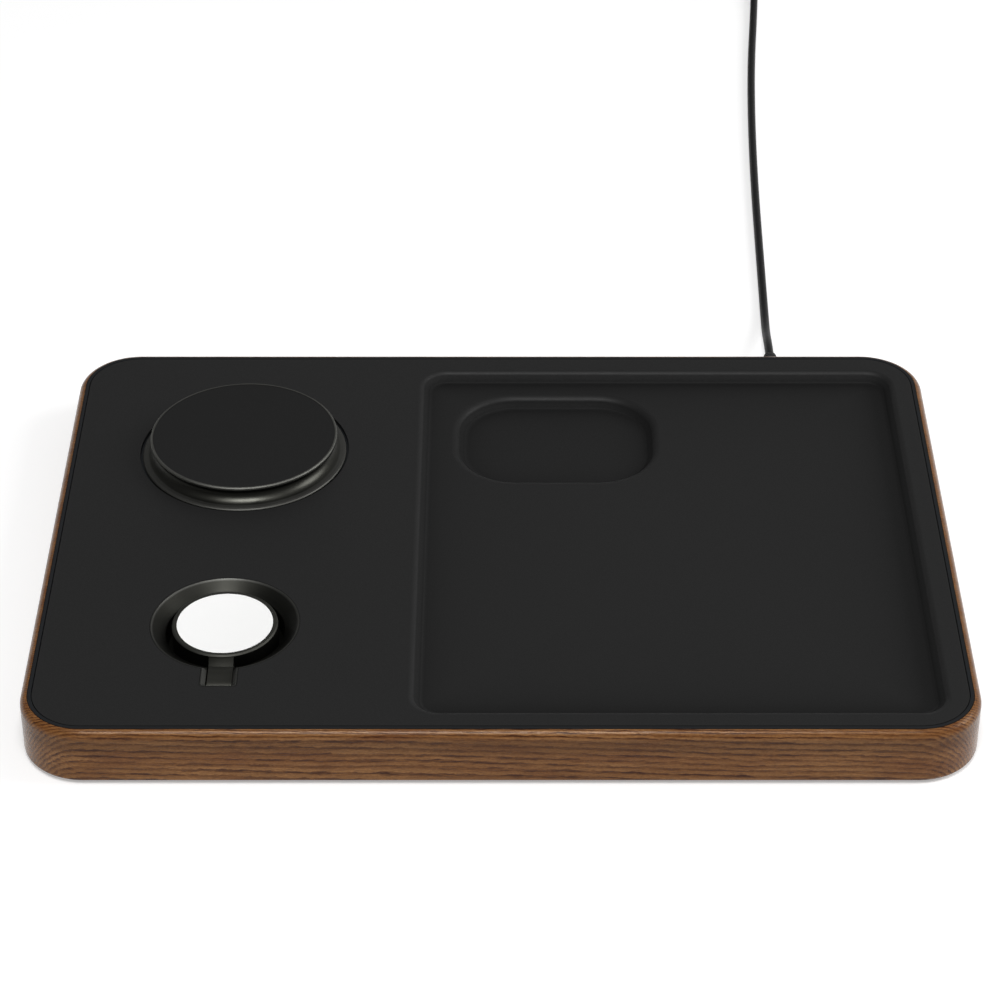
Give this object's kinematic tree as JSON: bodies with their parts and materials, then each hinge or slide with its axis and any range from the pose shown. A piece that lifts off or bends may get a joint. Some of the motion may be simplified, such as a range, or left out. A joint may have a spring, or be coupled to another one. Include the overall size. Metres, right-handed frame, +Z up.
{
  "type": "charging station organizer",
  "caption": "Wood-framed charging tray with a raised phone charger, a flip-up watch charger, a valet recess, an earbud-case pocket and a captive power cord.",
  "frame": {"origin": "on the table under the middle of the wood frame, cord left out", "axes": "+X along the tray's long side to the viewer's right, +Y to the back where the cord leaves, +Z up"},
  "size_m": [0.2644, 0.5302, 0.0241],
  "materials": {
    "walnut": "oiled, open grain",
    "deck_plastic": "fine moulded texture",
    "pad_matte": "fine matt grain",
    "gunmetal": "polished dark plating",
    "phone_silicone": "soft matt",
    "watch_white": "glossy white",
    "copper": "enamelled winding",
    "ferrite": "sintered, matt",
    "magnet": "nickel plated",
    "circuit_board": "solder mask",
    "chip": "moulded",
    "steel": "zinc plated",
    "base_plastic": "fine spark texture",
    "foot_rubber": "matt",
    "cord_sheath": "smooth satin",
    "plug_plastic": "satin"
  },
  "bodies": {
    "base": {"wood_frame": "walnut", "deck": "deck_plastic", "top_pad": "pad_matte", "base_plate": "base_plastic", "weight_plate": "steel", "phone_pedestal": "gunmetal", "phone_face": "phone_silicone", "phone_shield": "ferrite", "phone_coil": "copper", "phone_magnets": "magnet", "phone_board": "circuit_board", "phone_nut": "deck_plastic", "watch_dish": "gunmetal", "watch_pin": "steel", "bud_coil": "copper", "bud_shield": "ferrite", "main_board": "circuit_board", "board_inductors": "ferrite", "board_chips": "chip", "board_capacitors": "steel", "power_connector": "deck_plastic", "power_lead": "cord_sheath", "base_screws": "steel", "board_screws": "steel", "dish_screws": "steel", "cord_boot": "cord_sheath", "cord_run": "cord_sheath", "cord_coil": "cord_sheath", "cord_end": "cord_sheath", "cord_tie": "plug_plastic", "plug_boot": "cord_sheath", "plug_body": "plug_plastic", "plug_shell": "steel", "foot_front_left": "foot_rubber", "foot_front_right": "foot_rubber", "foot_rear_left": "foot_rubber", "foot_rear_right": "foot_rubber"},
    "watch_puck": {"watch_cup": "gunmetal", "watch_face": "watch_white", "watch_core": "ferrite", "watch_coil": "copper", "watch_magnet": "magnet"}
  },
  "joints": [
    {"name": "watch_flip", "type": "hinge", "parent": "base", "child": "watch_puck", "pos_m": [-0.07798, -0.06965, 0.0136], "axis": [1, 0, 0], "range_deg": [0, 90]}
  ]
}
